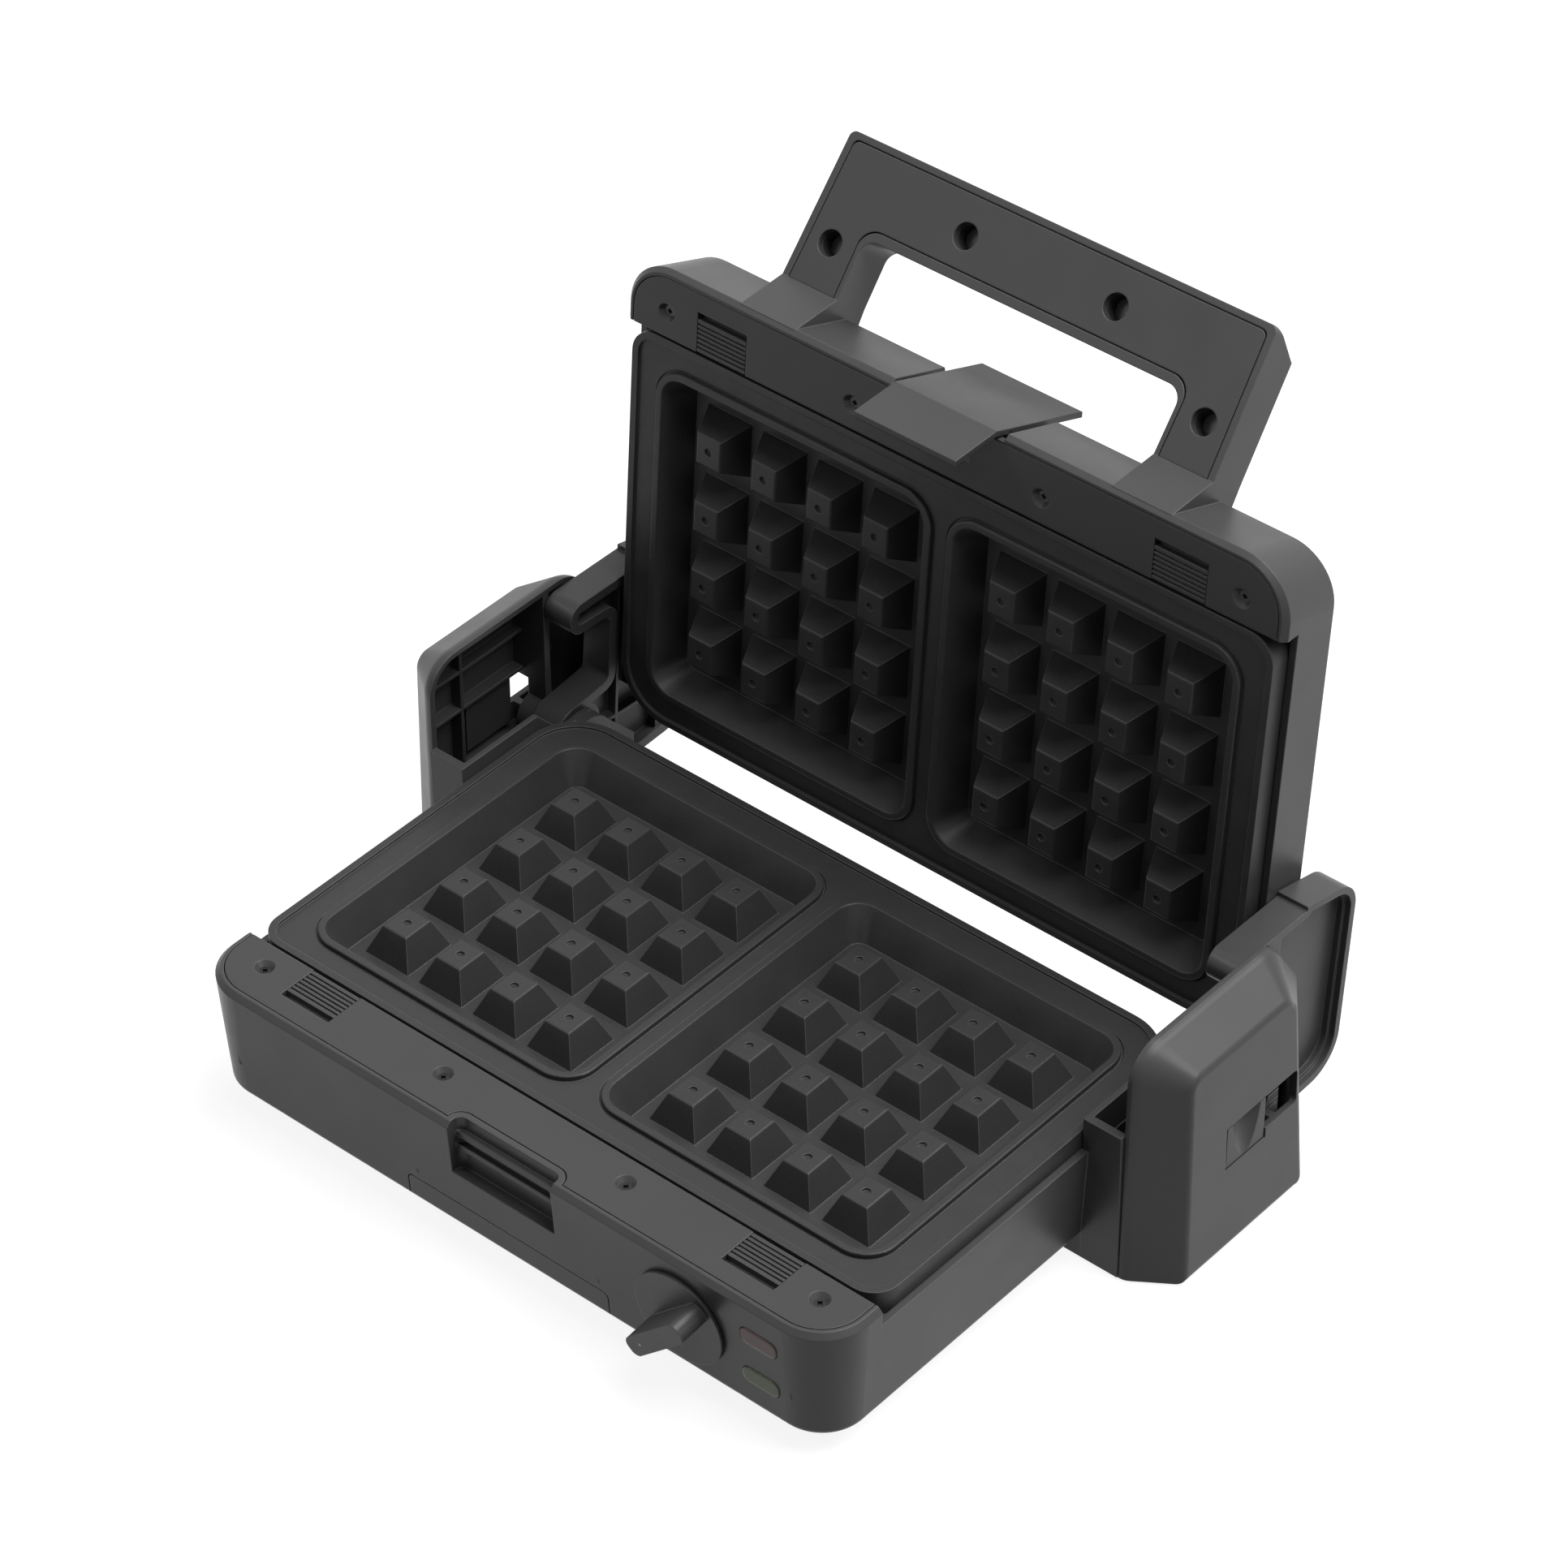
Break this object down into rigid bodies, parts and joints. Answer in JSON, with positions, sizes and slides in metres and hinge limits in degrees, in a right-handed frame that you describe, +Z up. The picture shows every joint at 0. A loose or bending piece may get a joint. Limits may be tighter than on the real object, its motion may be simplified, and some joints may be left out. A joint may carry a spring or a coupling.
{
  "type": "waffle maker",
  "caption": "Deep-fill countertop waffle maker with rectangular moulds, lift-out plates, a hinged lid with a loop handle and latch, and side hinge pillars.",
  "frame": {"origin": "on the table, under the middle of the object with its lid open", "axes": "+Z up, front with the latch notch and knob towards -Y, +X to the right seen from the front"},
  "size_m": [0.3344, 0.2956, 0.2665],
  "materials": {
    "housing": "satin",
    "strip": "satin",
    "plate": "dark non-stick coating",
    "sheet": "bright sheet",
    "element": "heat darkened",
    "steel": "dark",
    "rubber": "matte",
    "ceramic": "ceramic",
    "red_lens": "translucent",
    "green_lens": "translucent",
    "board": "circuit board",
    "knob": "satin",
    "button": "satin"
  },
  "bodies": {
    "base": {"base_housing": "housing", "base_front_strip": "strip", "bottom_cover": "housing", "lower_plate": "plate", "lower_reflector": "sheet", "lower_heating_element": "element", "pillar_cover_left": "housing", "pillar_cover_right": "housing", "hinge_pin_left": "steel", "hinge_pin_right": "steel", "rubber_feet": "rubber", "thermostat": "ceramic", "red_lens": "red_lens", "green_lens": "green_lens", "lamp_board": "board", "base_strip_screws": "steel", "cord_gland": "rubber", "terminal_block": "ceramic", "thermal_fuse_lower": "steel"},
    "lid": {"lid_housing": "housing", "lid_front_strip": "strip", "upper_plate": "plate", "upper_reflector": "sheet", "upper_heating_element": "element", "handle_cover": "strip", "handle_screws": "steel", "lid_strip_screws": "steel", "hinge_ear_left": "housing", "hinge_ear_right": "housing", "latch_pin": "steel", "thermal_fuse_upper": "steel"},
    "latch": {"latch": "strip"},
    "knob": {"knob": "knob"},
    "base_release_left": {"base_release_left": "button"},
    "base_release_right": {"base_release_right": "button"},
    "lid_release_left": {"lid_release_left": "button"},
    "lid_release_right": {"lid_release_right": "button"},
    "hinge_lock_left": {"hinge_lock_left": "button"},
    "hinge_lock_right": {"hinge_lock_right": "button"}
  },
  "joints": [
    {"name": "lid_hinge", "type": "hinge", "parent": "base", "child": "lid", "pos_m": [0, 0.05205, 0.0397], "axis": [1, 0, 0], "range_deg": [0, 94]},
    {"name": "latch_hinge", "type": "hinge", "parent": "lid", "child": "latch", "pos_m": [0, 0.08911, 0.22126], "axis": [-1, 0, 0], "range_deg": [0, 8], "stiffness_Nm_per_rad": 0.4},
    {"name": "knob_turn", "type": "hinge", "parent": "base", "child": "knob", "pos_m": [0.0747, -0.13392, 0.0327], "axis": [0, 0.9969, 0.0791], "range_deg": [0, 270]},
    {"name": "base_release_left_slide", "type": "slide", "parent": "base", "child": "base_release_left", "axis": [0, -1, 0], "range_m": [0, 0.0024], "stiffness_N_per_m": 400},
    {"name": "lid_release_left_slide", "type": "slide", "parent": "lid", "child": "lid_release_left", "axis": [0, 0.0698, 0.9976], "range_m": [0, 0.0024], "stiffness_N_per_m": 400},
    {"name": "hinge_lock_left_press", "type": "slide", "parent": "base", "child": "hinge_lock_left", "axis": [1, 0, 0], "range_m": [0, 0.002], "stiffness_N_per_m": 600},
    {"name": "base_release_right_slide", "type": "slide", "parent": "base", "child": "base_release_right", "axis": [0, -1, 0], "range_m": [0, 0.0024], "stiffness_N_per_m": 400},
    {"name": "lid_release_right_slide", "type": "slide", "parent": "lid", "child": "lid_release_right", "axis": [0, 0.0698, 0.9976], "range_m": [0, 0.0024], "stiffness_N_per_m": 400},
    {"name": "hinge_lock_right_press", "type": "slide", "parent": "base", "child": "hinge_lock_right", "axis": [-1, 0, 0], "range_m": [0, 0.002], "stiffness_N_per_m": 600}
  ]
}
